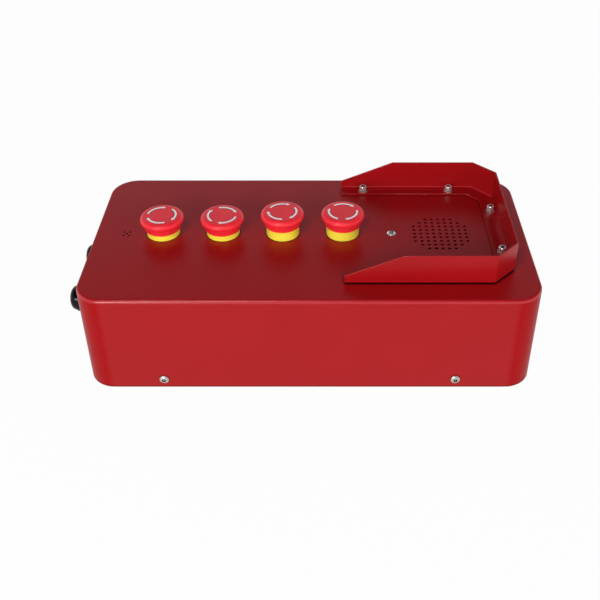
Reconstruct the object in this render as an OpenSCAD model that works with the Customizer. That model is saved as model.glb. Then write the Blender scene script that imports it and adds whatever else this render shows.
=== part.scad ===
// Call and stop station for a wall or a machine: a folded steel case that carries
// twist-to-release stop buttons, a microphone, a loudspeaker inside a hood and two cable glands.
// Millimetres. The origin is the middle of the back face. +Z points from the wall to the deck,
// -Y is the long front side and +X is the hood end.

/* [Case] */
// Length of the case
case_l = 400; // [380:1:440]
// Width of the case
case_w = 200; // [190:1:240]
// Depth of the case, from the wall to the deck
case_h = 98; // [92:1:120]
// Radius of the upright corners
corner_r = 25; // [15:1:35]
// Outside radius of the bend round the deck
bend_r = 3; // [2:0.5:6]
// Thickness of the steel sheet
sheet_t = 1.5; // [1:0.1:2]

/* [Base plate] */
// Thickness of the base plate
base_t = 1.5; // [1:0.1:3]
// Gap between the base plate and the case walls
base_gap = 0.3; // [0.2:0.1:1]
// Height of the base flanges above the cover screws
base_flange_over = 8; // [6:0.5:12]
// Distance between the wall holes along the case
wall_hole_l = 340; // [300:1:350]
// Distance between the wall holes across the case
wall_hole_w = 140; // [120:1:150]
// Diameter of the wall holes
wall_hole_d = 6.5; // [4.5:0.5:8.5]

/* [Screws] */
// Distance between the cover screws along the case
cover_screw_l = 260; // [200:1:300]
// Height of the cover screws above the wall
cover_screw_z = 9.3; // [8:0.1:14]
// Thread diameter of the case screws
screw_d = 4; // [3:0.5:5]
// Diameter of the screw heads
screw_head_d = 8.2; // [7:0.1:9]
// Height of the screw heads
screw_head_h = 2.4; // [2:0.1:3]
// Width across the screw sockets
socket_af = 3.4; // [2.5:0.1:3.6]
// Diameter of the hood screws' tall heads
cap_head_d = 6.8; // [6:0.1:7]
// Height of the hood screws' heads with their washers
cap_head_h = 5.6; // [4:0.1:6]
// Diameter of the washers on the hood screws
cap_washer_d = 8.4; // [7.5:0.1:8.5]
// Width across the nuts
nut_af = 7; // [6.5:0.5:9]
// Height of the nuts
nut_h = 3.2; // [2:0.1:4]
// Clearance of the screw holes, on the diameter
screw_hole_clear = 0.5; // [0.3:0.1:1]

/* [Hood] */
// Length of the hood along the case
hood_l = 150; // [135:1:160]
// Width of the hood
hood_w = 160; // [140:1:170]
// Height of the hood above the deck
hood_h = 29; // [20:1:40]
// Height of the hood's open ends
hood_end_h = 8; // [5:1:15]
// Length of the slope at the hood's open ends
hood_slope_l = 50.5; // [30:0.5:80]
// Cut of the hood's two corners
hood_cut = 20; // [12:1:30]
// Width of the hood's flange from its outer face
hood_flange_w = 15; // [14:0.5:20]
// Distance from the hood to the end of the case
hood_end_gap = 20; // [12:1:30]
// Offset of the hood's middle from the middle of the case
hood_mid_y = 4; // [-5:0.5:5]
// Distance of the side screws from the hood's outer face
hood_screw_inset = 8.8; // [7.5:0.1:10]
// Distance of the end screws from the hood's outer face
hood_end_inset = 7.2; // [7:0.1:10]
// Distance from the hood's open end to its first screws
hood_screw_first = 21.5; // [15:0.5:30]
// Distance between the side screws of the hood
hood_screw_pitch = 85; // [60:1:95]
// Distance between the end screws of the hood
hood_end_screw_pitch = 69; // [50:1:80]

/* [Stop buttons] */
// Distance from the end of the case to the first stop button
stop_first_x = 63.3; // [55:0.1:70]
// Distance between the stop buttons
stop_pitch = 55.6; // [48:0.1:60]
// Offset of the stop buttons from the middle of the case
stop_y = 3.3; // [-5:0.1:5]
// Diameter of the stop button's thread
stop_thread_d = 22; // [20:0.5:24]
// Clearance of the button holes, on the diameter
stop_hole_clear = 0.4; // [0.2:0.1:1]
// Diameter of the head
head_d = 40; // [37:0.5:44]
// Outside diameter of the collar
collar_d = 30.4; // [29:0.2:32]
// Height of the collar above the deck
collar_h = 12; // [10:0.5:15]
// Wall of the collar
collar_wall = 0.8; // [0.6:0.1:1.2]
// Travel of the head from up to latched
stop_travel = 4; // [3:0.25:5]
// Thickness of the head above its ceiling
head_cap_t = 5.5; // [5:0.25:8]
// Radius of the head's rounded edge
head_edge_r = 4; // [3:0.25:5]
// Overlap of the head's skirt and the collar when up
skirt_lap = 1.9; // [1:0.1:3]
// Wall of the head's skirt
skirt_wall = 0.9; // [0.7:0.1:1.3]
// Thickness of the deck gasket
stop_gasket_t = 1; // [0.6:0.1:1.5]
// Thickness of the bushing's flange
bush_flange_t = 3; // [2:0.25:4]
// Length of the bushing below the deck
bush_l = 24; // [20:0.5:28]
// Wall of the bushing round its spring
bush_wall = 1.8; // [1.4:0.1:2.4]
// Thickness of the bushing's floor
bush_floor_t = 6; // [4:0.5:8]
// Thickness of the lip that holds the piston in
bush_lip_t = 3; // [2:0.25:4]
// Diameter of the plunger's lower rod
rod_d = 8; // [6:0.5:9]
// Length of the plunger's lower rod below the bushing
rod_out = 6; // [4:0.5:8]
// Diameter of the plunger's stem
stem_d = 12.8; // [11:0.2:14]
// Diameter of the spigot that carries the head
spigot_d = 10; // [8:0.5:10.5]
// Thickness of the plunger's piston
piston_t = 3; // [2:0.25:4]
// Wire diameter of the return spring
spring_wire_d = 1.2; // [0.8:0.1:1.6]
// Curls of the return spring
spring_curls = 6; // [4:1:7]
// Thickness of the locknut under the deck
stop_nut_t = 5; // [3:0.5:7]
// Width of the locknut beyond the thread, across flats
stop_nut_rim = 7; // [5:0.5:9]
// Length of the contact block along the case
block_l = 30; // [28:0.5:40]
// Width of the contact block
block_w = 40; // [36:0.5:50]
// Depth of the contact block
block_h = 40; // [36:0.5:44]
// Depth of the socket that takes the bushing
block_socket = 8; // [5:0.5:9]
// Thread diameter of the terminal screws
terminal_d = 3; // [2.5:0.5:4]

/* [Loudspeaker] */
// Distance from the end of the case to the middle of the loudspeaker
speaker_end_x = 79.2; // [72:0.2:86]
// Offset of the microphone and the grille from the middle of the case
sound_y = 1; // [-5:0.5:5]
// Distance between the grille holes
grille_pitch = 6; // [5:0.25:6.5]
// Diameter of the grille holes
grille_hole_d = 3.1; // [2:0.1:3.5]
// Grille holes on each side of the middle
grille_half = 4; // [3:1:5]
// Holes cut off the corners of the grille
grille_corner = 2; // [0:1:3]
// Outside diameter of the loudspeaker
speaker_d = 66; // [62:0.5:72]
// Width of the loudspeaker's rim
speaker_rim = 4.4; // [3.5:0.1:6]
// Thickness of the loudspeaker gasket
speaker_gasket_t = 1.5; // [1:0.1:3]
// Thickness of the loudspeaker's frame
frame_t = 1.5; // [1:0.1:2]
// Depth of the frame below the gasket
frame_depth = 17; // [15:0.5:22]
// Travel of the cone each way
cone_travel = 0.8; // [0.4:0.1:1.2]
// Thickness of the cone
cone_t = 0.8; // [0.6:0.1:1.2]
// Diameter of the voice coil
coil_d = 16; // [13:0.5:19]
// Diameter of the magnet
magnet_d = 40; // [36:0.5:46]
// Thickness of the magnet
magnet_t = 14; // [12:0.5:18]
// Distance from the loudspeaker's middle to the strap's screws
strap_reach = 45.5; // [43:0.5:52]
// Width of the strap
strap_w = 14; // [11:0.5:18]
// Thickness of the strap
strap_t = 2; // [1.5:0.1:3]
// Diameter of the strap's spacers
spacer_d = 8; // [7:0.5:10]

/* [Microphone] */
// Distance from the end of the case to the microphone
mic_end_x = 29.5; // [25:0.5:32]
// Distance between the microphone's outer holes
mic_hole_pitch = 5.2; // [4:0.1:5.6]
// Diameter of the microphone's holes
mic_hole_d = 2; // [1.5:0.1:2.4]
// Diameter of the microphone capsule
mic_d = 12.7; // [12:0.1:14]
// Height of the microphone capsule
mic_h = 6.5; // [4:0.1:9]
// Wall of the rubber boot
mic_boot_wall = 2; // [1.5:0.1:3]

/* [Cable glands] */
// Distance between the two glands
gland_pitch = 66; // [50:1:90]
// Offset of the glands from the middle of the case
gland_mid_y = -3.5; // [-6:0.5:6]
// Height of the glands above the wall
gland_z = 52; // [40:0.5:60]
// Diameter of the gland's thread
gland_thread_d = 20; // [18:0.5:25]
// Diameter of the cable that the seal grips
cable_d = 10; // [8:0.5:11]
// Thickness of the sealing washer
gland_washer_t = 1.5; // [1:0.1:2.5]
// Width of the gland's hexagons beyond the thread
gland_hex_rim = 4; // [3:0.5:6]
// Thickness of the gland's hexagon
gland_hex_t = 5; // [4:0.5:8]
// Length of the dome nut
gland_nut_l = 13.5; // [12.5:0.1:20]
// Length of the seal
seal_l = 9.4; // [7:0.2:11]
// Wall of the seal
seal_wall = 3; // [2:0.1:3.5]
// Thickness of the locknut inside the case
gland_locknut_t = 5; // [3:0.5:7]

/* [Board] */
// Length of the board
board_l = 200; // [190:1:205]
// Width of the board
board_w = 100; // [90:1:110]
// Thickness of the board
board_t = 1.6; // [1:0.1:2.4]
// Distance from the end of the case to the board
board_end_x = 50; // [46:1:56]
// Height of the board's standoffs
standoff_h = 10; // [6:0.5:12]
// Width across the standoffs
standoff_af = 5.5; // [5:0.5:8]
// Thread diameter of the board screws
board_screw_d = 3; // [2:0.5:3.5]
// Distance of the board screws from the board's edges
board_inset = 5; // [4.5:0.5:8]
// Distance between the poles
pole_pitch = 10; // [8:0.25:10]
// Width of the terminal strip
strip_w = 10; // [8:0.5:14]
// Height of the terminal strip
strip_h = 10.5; // [8:0.5:12]
// Distance from the strip's middle to the edge of the board
strip_edge = 10; // [8:0.5:14]
// Diameter of the capacitors
cap_d = 12.5; // [8:0.5:16]
// Height of the capacitors
cap_h = 20; // [12:0.5:21]
// Distance between the capacitors
cap_pitch = 20; // [18:0.5:26]
// Diameter of the leads to the stop buttons
stop_lead_d = 4; // [3:0.25:5]
// Diameter of the leads to the loudspeaker and the microphone
signal_lead_d = 3; // [2:0.25:3.5]

/* [Hidden] */
$fn = 64;

// Colours of the finishes
coat_red = [0.60, 0.10, 0.12];
head_red = [0.86, 0.13, 0.18];
collar_yellow = [0.97, 0.83, 0.15];
bright_steel = [0.78, 0.78, 0.80];
zinc_grey = [0.62, 0.64, 0.66];
black_plastic = [0.06, 0.06, 0.07];
rubber_black = [0.10, 0.10, 0.10];
plunger_grey = [0.30, 0.30, 0.32];
cone_grey = [0.16, 0.16, 0.17];
magnet_grey = [0.25, 0.25, 0.27];
board_green = [0.05, 0.32, 0.16];
strip_green = [0.20, 0.50, 0.28];
cap_blue = [0.10, 0.12, 0.28];
lead_grey = [0.45, 0.45, 0.47];

// Clearances: the overshoot of a cut, a thread in its nut, a fixed fit, a bearing and moving parts
cut = 1;
thread_gap = 0.05;
fit_gap = 0.2;
bearing_gap = 0.05;
seat_gap = 0.1;
moving_gap = 0.3;
wide_gap = 0.4;

// Levels and ends of the case
deck_z = case_h;
under_z = case_h - sheet_t;
left_x = -case_l / 2;
right_x = case_l / 2;
wall_in_y = case_w / 2 - sheet_t;
inner_bend_r = max(bend_r - sheet_t, fit_gap);

// Base plate and its flanges
base_l = case_l - 2 * (sheet_t + base_gap);
base_w = case_w - 2 * (sheet_t + base_gap);
base_corner_r = corner_r - sheet_t - base_gap;
base_flange_h = cover_screw_z + base_flange_over;
flange_end_gap = 5;
flange_l = base_l - 2 * (base_corner_r + flange_end_gap);

// Screws: the dome of the head, the socket with its pin, and the thread that shows past a nut
screw_rim_h = screw_head_h / 3;
screw_dome = screw_head_h - screw_rim_h;
screw_dome_r = (pow(screw_dome, 2) + pow(screw_head_d / 2, 2)) / (2 * screw_dome);
socket_depth = screw_head_h * 2 / 3;
socket_pin_d = 1.2;
socket_pin_drop = 0.4;
cap_washer_t = 1;
cap_edge = 0.4;
cap_socket_depth = cap_head_h / 2;
thread_end = 1.5;
cover_screw_shank = sheet_t + base_gap + base_t + nut_h + thread_end;
hood_screw_shank = 2 * sheet_t + nut_h + thread_end;

// Hood
hood_x1 = right_x - hood_end_gap;
hood_x0 = hood_x1 - hood_l;
hood_y0 = hood_mid_y - hood_w / 2;
hood_y1 = hood_mid_y + hood_w / 2;
hood_side_x = [for (k = [0, 1]) hood_x0 + hood_screw_first + k * hood_screw_pitch];
hood_side_y = [hood_y0 + hood_screw_inset, hood_y1 - hood_screw_inset];
hood_end_y = [for (s = [-1, 1]) hood_mid_y + s * hood_end_screw_pitch / 2];
HOOD_SCREWS = concat(
    [for (x = hood_side_x, y = hood_side_y) [x, y]],
    [for (y = hood_end_y) [hood_x1 - hood_end_inset, y]]
);

// Stop buttons: heights are from the top of the deck, with the button up
STOPS = [0, 1, 2, 3];
stop_latched = [true, true, false, false];
bush_r = stop_thread_d / 2;
collar_r = collar_d / 2;
flange_r = collar_r - collar_wall - fit_gap;
bush_shoulder = 1.2;
neck_r = flange_r - bush_shoulder;
flange_top_z = stop_gasket_t + bush_flange_t;
chamber_r = bush_r - bush_wall;
chamber_floor_z = bush_floor_t - bush_l;
lip_z = collar_h - bush_lip_t;
piston_top_z = lip_z - moving_gap;
piston_under_z = piston_top_z - piston_t;
rod_end_z = -bush_l - rod_out;
latched_gap = 0.5;
hub_z = collar_h + stop_travel + latched_gap;
stem_top_z = hub_z - seat_gap;
hub_drop = 1;
head_ceiling_z = hub_z + hub_drop;
head_top_z = head_ceiling_z + head_cap_t;
spigot_top_z = head_top_z - head_cap_t / 2;
skirt_z = collar_h - skirt_lap;
skirt_in_r = collar_r + wide_gap;
skirt_r = skirt_in_r + skirt_wall;
hub_wall = 3;
hub_r = spigot_d / 2 + hub_wall;
edge_x = head_d / 2 - head_edge_r;
edge_z = head_top_z - head_edge_r;
under_angle = 45;
waist_share = 0.6;
waist_z = skirt_z + waist_share * (edge_z - skirt_z);
waist_in = 0.6;
waist_r = (skirt_r + head_d / 2) / 2 - waist_in;
waist_step = 0.4;

// Contact block
block_top_z = block_socket - bush_l;
block_bottom_z = block_top_z - block_h;
rod_spare = 2;
block_bore_z = rod_end_z - stop_travel - rod_spare;
terminal_end = 7;
terminal_side = 5;
terminal_x = block_l / 2 - terminal_end;
terminal_y = block_w / 2 - terminal_side;
pocket_w = 9;
pocket_d = 10;
pocket_h = 12;
terminal_head_t = 2.5;
terminal_shank = 7;
slot_w = 0.8;
slot_depth = 1;

// Return spring: a curl has eight rings of six sides
spring_mean_r = (rod_d / 2 + chamber_r) / 2;
spring_rings = 8;
spring_sides = 6;

// Loudspeaker: heights are from the underside of the deck
speaker_x = right_x - speaker_end_x;
speaker_y = sound_y;
speaker_r = speaker_d / 2;
cone_bore_r = speaker_r - speaker_rim;
cone_r = cone_bore_r - wide_gap;
rim_z0 = -speaker_gasket_t;
frame_step = 4;
basket_z = rim_z0 - frame_step;
basket_end_z = rim_z0 - frame_depth + frame_t;
magnet_z = rim_z0 - frame_depth;
magnet_end_z = magnet_z - magnet_t;
coil_r = coil_d / 2;
coil_clear = 0.6;
coil_end_z = magnet_z - magnet_t / 2;
surround_r = 2.2;
surround_z = -surround_r - cone_travel - wide_gap;
cone_lip = 0.6;
surround_x = cone_r - surround_r - cone_lip;
cone_lift = 1;
cone_low_z = basket_end_z + cone_travel + cone_lift;
cap_sphere_r = coil_r * 1.25;
cap_sphere_z = cone_low_z + cone_t - sqrt(pow(cap_sphere_r, 2) - pow(coil_r, 2));
basket_windows = 4;
window_angle = 60;
window_rim = 2;
strap_top_z = magnet_end_z;
strap_nut_z = strap_top_z - strap_t - nut_h;
strap_screw_shank = sheet_t - strap_nut_z + thread_end;

// Microphone: heights are from the underside of the deck
mic_x = left_x + mic_end_x;
mic_lip_t = 1;
mic_boot_r = mic_d / 2 + seat_gap + mic_boot_wall;
mic_recess = 0.5;
mic_boot_h = mic_lip_t + mic_h + mic_recess;
mic_port_r = mic_hole_pitch / sqrt(2) + mic_hole_d / 2 + seat_gap;

// Cable glands: heights are along the gland, from the outside of the case
GLANDS = [0, 1];
gland_r = gland_thread_d / 2;
gland_af = gland_thread_d + gland_hex_rim;
gland_in_l = 8;
cable_clear = 1.2;
gland_bore_r = cable_d / 2 + cable_clear;
seal_r = cable_d / 2 + seal_wall;
gland_mouth_r = seal_r + fit_gap;
gland_spigot_wall = 1.3;
gland_spigot_r = gland_mouth_r + gland_spigot_wall;
gland_spigot_l = 6.5;
gland_nut_z = gland_washer_t + gland_hex_t + moving_gap;
gland_end_z = gland_nut_z + gland_nut_l;
gland_hex_l = gland_nut_l / 2;
seal_z = gland_washer_t + gland_hex_t + moving_gap;
gland_lip_z = seal_z + seal_l + moving_gap;
gland_dome_in = 0.4;
gland_dome_r = gland_af / 2 - gland_dome_in;
gland_dome_round = 6.2;
gland_corner = 0.6;
gland_locknut_rim = 2;

// Board
board_x = left_x + board_end_x + board_l / 2;
board_z = base_t + standoff_h;
board_top_z = board_z + board_t;
board_screw_head_d = 1.8 * board_screw_d;
board_screw_head_h = 2;
board_screw_shank = 8;
strip_end_gap = 2;
strip_room = board_l - 2 * board_inset - board_screw_head_d - 2 * strip_end_gap;
strip_poles = floor(strip_room / pole_pitch);
strip_l = strip_poles * pole_pitch;
strip_y = strip_edge - board_w / 2;
strip_end_x = [board_x - strip_l / 2, board_x + strip_l / 2];
pole_hole_r = 2.2;
pole_hole_depth = 4;
CAPS = [-1, 0, 1];
cap_y = board_w / 4;

// Leads: round points by hand, kept as steps from the two ends
lead_sides = 8;
lead_steps = 2;
strip_entry_h = 5.5;
lead_z = board_top_z + strip_entry_h;
lead_gap = 0.3;
stop_lead_start = [[0, 0, 0], [0, 0, -8], [0, -6, -15]];
stop_lead_end = [[0, 22, 2], [0, 11, 0], [0, 0, 0]];
speaker_lead_start = [[0, 0, 0], [0, 0, -9], [-2, -1, -20], [-9, -4, -34], [-19, -8, -47]];
speaker_lead_end = [[29, 7, 13], [19, 3, 5], [10, 0, 1], [0, 0, 0]];
mic_lead_start = [[0, 0, 0], [0, 0, -8], [1, -4, -20], [3, -14, -32]];
mic_lead_end = [[-27, 22, 19], [-19, 8, 6], [-10, 0, 0], [0, 0, 0]];

function stop_name(part, i) = str("stop_", part, "_", i + 1);
function gland_name(part, i) = str("gland_", part, "_", i + 1);
function stop_x(i) = left_x + stop_first_x + i * stop_pitch;
function stop_drop(i) = stop_latched[i] ? stop_travel : 0;
function gland_y(i) = gland_mid_y + (i - 0.5) * gland_pitch;
function shifted(points, origin) = [for (p = points) origin + p];

// Plan of the hood, moved in from its outer face, with its open end pulled out by a length
function hood_plan(inset, open_l) =
    let (k = inset * (sqrt(2) - 1))
    [
        [hood_x0 - open_l, hood_y0 + inset],
        [hood_x1 - hood_cut - k, hood_y0 + inset],
        [hood_x1 - inset, hood_y0 + hood_cut + k],
        [hood_x1 - inset, hood_y1 - hood_cut - k],
        [hood_x1 - hood_cut - k, hood_y1 - inset],
        [hood_x0 - open_l, hood_y1 - inset]
    ];

// Centre line of a return spring between two heights
function spring_line(z0, z1) =
    let (n = spring_curls * spring_rings)
    let (rise = z1 - z0 - spring_wire_d - 2 * seat_gap)
    [for (k = [0:n])
        let (a = 360 * k / spring_rings)
        [
            spring_mean_r * cos(a),
            spring_mean_r * sin(a),
            z0 + seat_gap + spring_wire_d / 2 + rise * k / n
        ]];

// Least distance of a spring's wire from its own next curls
function spring_gap(line) =
    min([for (i = [0:len(line) - 1], j = [i + spring_rings / 2:len(line) - 1])
        norm(line[i] - line[j])]) - spring_wire_d;

function spring_top_z(i) = piston_under_z - stop_drop(i);

// Smooth line through hand-set points, with a few steps between each two of them
function smooth_line(p) =
    let (n = len(p) - 1)
    concat(
        [for (i = [0:n - 1], s = [0:lead_steps - 1])
            smooth_point(p[max(i - 1, 0)], p[i], p[i + 1], p[min(i + 2, n)], s / lead_steps)],
        [p[n]]
    );

function smooth_point(a, b, c, d, t) =
    0.5 * (2 * b + t * (c - a) + t * t * (2 * a - 5 * b + 4 * c - d)
        + t * t * t * (3 * b - a - 3 * c + d));

function unit(v) = v / norm(v);
function along(line, i) = unit(line[min(i + 1, len(line) - 1)] - line[max(i - 1, 0)]);

// Points of one ring of a tube, square to its line and turned from a side direction
function ring(line, i, r, sides, side) =
    let (t = along(line, i))
    let (u = unit(cross(side, t)))
    let (v = cross(t, u))
    [for (k = [0:sides - 1]) line[i] + r * (cos(360 * k / sides) * u + sin(360 * k / sides) * v)];

// Round tube along a line, in triangles with closed ends
module tube(line, r, sides, side) {
    n = len(line);
    points = [for (i = [0:n - 1]) each ring(line, i, r, sides, side)];
    skin = [for (i = [0:n - 2], k = [0:sides - 1])
        let (a = i * sides + k, b = i * sides + (k + 1) % sides)
        each [[a, a + sides, b], [b, a + sides, b + sides]]];
    first = [for (k = [1:sides - 2]) [0, k, k + 1]];
    last = [for (k = [1:sides - 2]) [0, k + 1, k] + (n - 1) * sides * [1, 1, 1]];
    polyhedron(points, concat(skin, first, last));
}

// Upright section of a bent block, with its two upper edges rounded
module bent_section(w, h, bend) {
    translate([-w / 2, 0])
        square([w, h - bend]);
    translate([bend - w / 2, 0])
        square([w - 2 * bend, h]);
    for (s = [-1, 1])
        translate([s * (w / 2 - bend), h - bend])
            circle(bend);
}

// Quarter of a round upright corner with its upper edge rounded
module bent_corner(r, h, bend) {
    rotate_extrude(angle = 90) {
        square([r, h - bend]);
        square([r - bend, h]);
        translate([r - bend, h - bend])
            circle(bend);
    }
}

// Block with round upright corners whose upper edge is a bend
module bent_block(l, w, h, r, bend) {
    translate([r - l / 2, 0, 0])
        rotate([90, 0, 90])
            linear_extrude(l - 2 * r)
                bent_section(w, h, bend);
    translate([0, w / 2 - r, 0])
        rotate([90, 0, 0])
            linear_extrude(w - 2 * r)
                bent_section(l, h, bend);
    for (q = [[1, 1, 0], [-1, 1, 90], [-1, -1, 180], [1, -1, 270]])
        translate([q[0] * (l / 2 - r), q[1] * (w / 2 - r), 0])
            rotate(q[2])
                bent_corner(r, h, bend);
}

// Plate with round corners
module round_plate(l, w, t, r) {
    linear_extrude(t) {
        square([l - 2 * r, w], center = true);
        square([l, w - 2 * r], center = true);
        for (x = [-1, 1], y = [-1, 1])
            translate([x * (l / 2 - r), y * (w / 2 - r)])
                circle(r);
    }
}

module ring_solid(r_out, r_in, h) {
    difference() {
        cylinder(r = r_out, h = h);
        translate([0, 0, -cut])
            cylinder(r = r_in, h = h + 2 * cut);
    }
}

module hex_solid(af, h) {
    cylinder(d = af / cos(30), h = h, $fn = 6);
}

module hex_ring(af, r_in, h) {
    difference() {
        hex_solid(af, h);
        translate([0, 0, -cut])
            cylinder(r = r_in, h = h + 2 * cut);
    }
}

module case_nut() {
    hex_ring(nut_af, screw_d / 2 + thread_gap, nut_h);
}

module screw_hole(t) {
    translate([0, 0, -cut])
        cylinder(d = screw_d + screw_hole_clear, h = t + 2 * cut);
}

// Domed screw with a pin in its socket; its head stands on the origin
module pin_screw(shank) {
    difference() {
        intersection() {
            cylinder(d = screw_head_d, h = screw_head_h);
            translate([0, 0, screw_head_h - screw_dome_r])
                sphere(screw_dome_r);
        }
        difference() {
            translate([0, 0, screw_head_h - socket_depth])
                hex_solid(socket_af, socket_depth + cut);
            cylinder(d = socket_pin_d, h = screw_head_h - socket_pin_drop);
        }
    }
    translate([0, 0, -shank])
        cylinder(d = screw_d, h = shank);
}

// Screw with a tall round head, a plain socket and a washer that stays on it
module cap_screw(shank) {
    difference() {
        union() {
            cylinder(d = cap_washer_d, h = cap_washer_t);
            cylinder(d = cap_head_d, h = cap_head_h - cap_edge);
            translate([0, 0, cap_head_h - cap_edge])
                cylinder(d1 = cap_head_d, d2 = cap_head_d - 2 * cap_edge, h = cap_edge);
        }
        translate([0, 0, cap_head_h - cap_socket_depth])
            hex_solid(socket_af, cap_socket_depth + cut);
    }
    translate([0, 0, -shank])
        cylinder(d = screw_d, h = shank);
}

// The four cover screws' places, with +Z pointing out of the case
module at_cover_screws(y) {
    for (x = [-1, 1], s = [-1, 1])
        translate([x * cover_screw_l / 2, s * y, cover_screw_z])
            rotate([-90 * s, 0, 0])
                children();
}

module at_hood_screws(z) {
    for (p = HOOD_SCREWS)
        translate([p[0], p[1], z])
            children();
}

module at_stop(i, drop = 0) {
    translate([stop_x(i), stop_y, deck_z - drop])
        children();
}

module at_speaker() {
    translate([speaker_x, speaker_y, under_z])
        children();
}

module at_strap_ends() {
    for (s = [-1, 1])
        translate([s * strap_reach, 0, 0])
            children();
}

module at_mic() {
    translate([mic_x, sound_y, under_z])
        children();
}

// A gland's place, with +Z pointing out of the case
module at_gland(i) {
    translate([left_x, gland_y(i), gland_z])
        rotate([0, -90, 0])
            children();
}

module at_board_screws(z) {
    for (x = [-1, 1], y = [-1, 1])
        translate([board_x + x * (board_l / 2 - board_inset), y * (board_w / 2 - board_inset), z])
            children();
}

module at_terminals() {
    for (x = [-1, 1], y = [-1, 1])
        translate([x * terminal_x, y * terminal_y, block_bottom_z + pocket_h])
            children();
}

// Holes in the grille's square grid, with the corners left off
module grille_holes() {
    for (i = [-grille_half:grille_half], j = [-grille_half:grille_half])
        if (abs(i) + abs(j) <= 2 * grille_half - grille_corner)
            translate([i * grille_pitch, j * grille_pitch, -cut])
                cylinder(d = grille_hole_d, h = sheet_t + 2 * cut);
}

module mic_holes() {
    for (p = [[0, 0], [1, 1], [-1, 1], [-1, -1], [1, -1]])
        translate([p[0] * mic_hole_pitch / 2, p[1] * mic_hole_pitch / 2, -cut])
            cylinder(d = mic_hole_d, h = sheet_t + 2 * cut);
}

module cover_shell() {
    color(coat_red) {
        difference() {
            bent_block(case_l, case_w, case_h, corner_r, bend_r);
            translate([0, 0, -cut])
                bent_block(
                    case_l - 2 * sheet_t,
                    case_w - 2 * sheet_t,
                    under_z + cut,
                    corner_r - sheet_t,
                    inner_bend_r
                );
            for (i = STOPS)
                at_stop(i)
                    translate([0, 0, -sheet_t - cut])
                        cylinder(d = stop_thread_d + stop_hole_clear, h = sheet_t + 2 * cut);
            at_speaker() {
                grille_holes();
                translate([-strap_reach, 0, 0])
                    screw_hole(sheet_t);
            }
            at_mic()
                mic_holes();
            at_hood_screws(under_z)
                screw_hole(sheet_t);
            at_cover_screws(wall_in_y)
                screw_hole(sheet_t);
            for (i = GLANDS)
                at_gland(i)
                    translate([0, 0, -sheet_t - cut])
                        cylinder(r = gland_r + fit_gap, h = sheet_t + 2 * cut);
        }
        at_speaker()
            translate([strap_reach, 0, strap_nut_z - thread_end])
                cylinder(d = screw_d, h = -strap_nut_z + thread_end);
    }
}

module base_plate() {
    color(zinc_grey)
        difference() {
            union() {
                round_plate(base_l, base_w, base_t, base_corner_r);
                for (s = [-1, 1])
                    translate([-flange_l / 2, s * (base_w - base_t) / 2 - base_t / 2, 0])
                        cube([flange_l, base_t, base_flange_h]);
            }
            for (x = [-1, 1], y = [-1, 1])
                translate([x * wall_hole_l / 2, y * wall_hole_w / 2, -cut])
                    cylinder(d = wall_hole_d, h = base_t + 2 * cut);
            at_cover_screws(base_w / 2 - base_t)
                screw_hole(base_t);
        }
}

module cover_screws() {
    color(bright_steel)
        at_cover_screws(case_w / 2)
            pin_screw(cover_screw_shank);
}

module base_nuts() {
    color(zinc_grey)
        at_cover_screws(base_w / 2 - base_t - nut_h)
            case_nut();
}

module speaker_hood() {
    color(coat_red)
        difference() {
            translate([0, 0, deck_z])
                linear_extrude(hood_h)
                    polygon(hood_plan(0, 0));
            translate([0, 0, deck_z + sheet_t])
                linear_extrude(hood_h)
                    polygon(hood_plan(sheet_t, cut));
            translate([0, 0, deck_z - cut])
                linear_extrude(hood_h)
                    polygon(hood_plan(hood_flange_w, cut));
            translate([hood_x0, hood_y1 + cut, deck_z])
                rotate([90, 0, 0])
                    linear_extrude(hood_w + 2 * cut)
                        hood_slope();
            at_hood_screws(deck_z)
                screw_hole(sheet_t);
        }
}

// What the slope takes off the hood's open ends, seen from the front
module hood_slope() {
    polygon([
        [-cut, hood_end_h],
        [0, hood_end_h],
        [hood_slope_l, hood_h],
        [hood_slope_l, hood_h + cut],
        [-cut, hood_h + cut]
    ]);
}

module hood_screws() {
    color(bright_steel)
        at_hood_screws(deck_z + sheet_t)
            cap_screw(hood_screw_shank);
}

module hood_nuts() {
    color(zinc_grey)
        at_hood_screws(under_z - nut_h)
            case_nut();
}

// Half section of the mushroom head without its rounded edge: a cap, a waist and a skirt
module head_section() {
    polygon([
        [0, skirt_z],
        [0, head_top_z],
        [edge_x, head_top_z],
        [edge_x + head_edge_r * cos(under_angle), edge_z - head_edge_r * sin(under_angle)],
        [waist_r, waist_z],
        [skirt_r, waist_z - waist_step],
        [skirt_r, skirt_z]
    ]);
}

module stop_head(i) {
    color(head_red)
        at_stop(i, stop_drop(i))
            difference() {
                union() {
                    difference() {
                        union() {
                            rotate_extrude()
                                head_section();
                            rotate_extrude()
                                translate([edge_x, edge_z])
                                    circle(head_edge_r);
                        }
                        translate([0, 0, skirt_z - cut])
                            cylinder(r = skirt_in_r, h = head_ceiling_z - skirt_z + cut);
                    }
                    translate([0, 0, hub_z])
                        cylinder(r = hub_r, h = head_ceiling_z - hub_z + cut);
                }
                translate([0, 0, hub_z - cut])
                    cylinder(d = spigot_d + 2 * bearing_gap, h = spigot_top_z + seat_gap - hub_z + cut);
            }
}

module stop_collar(i) {
    color(collar_yellow)
        at_stop(i)
            difference() {
                cylinder(r = collar_r, h = collar_h);
                translate([0, 0, -cut])
                    cylinder(r = flange_r + fit_gap, h = flange_top_z + seat_gap + cut);
                translate([0, 0, -cut])
                    cylinder(r = neck_r + seat_gap, h = collar_h + 2 * cut);
            }
}

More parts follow.
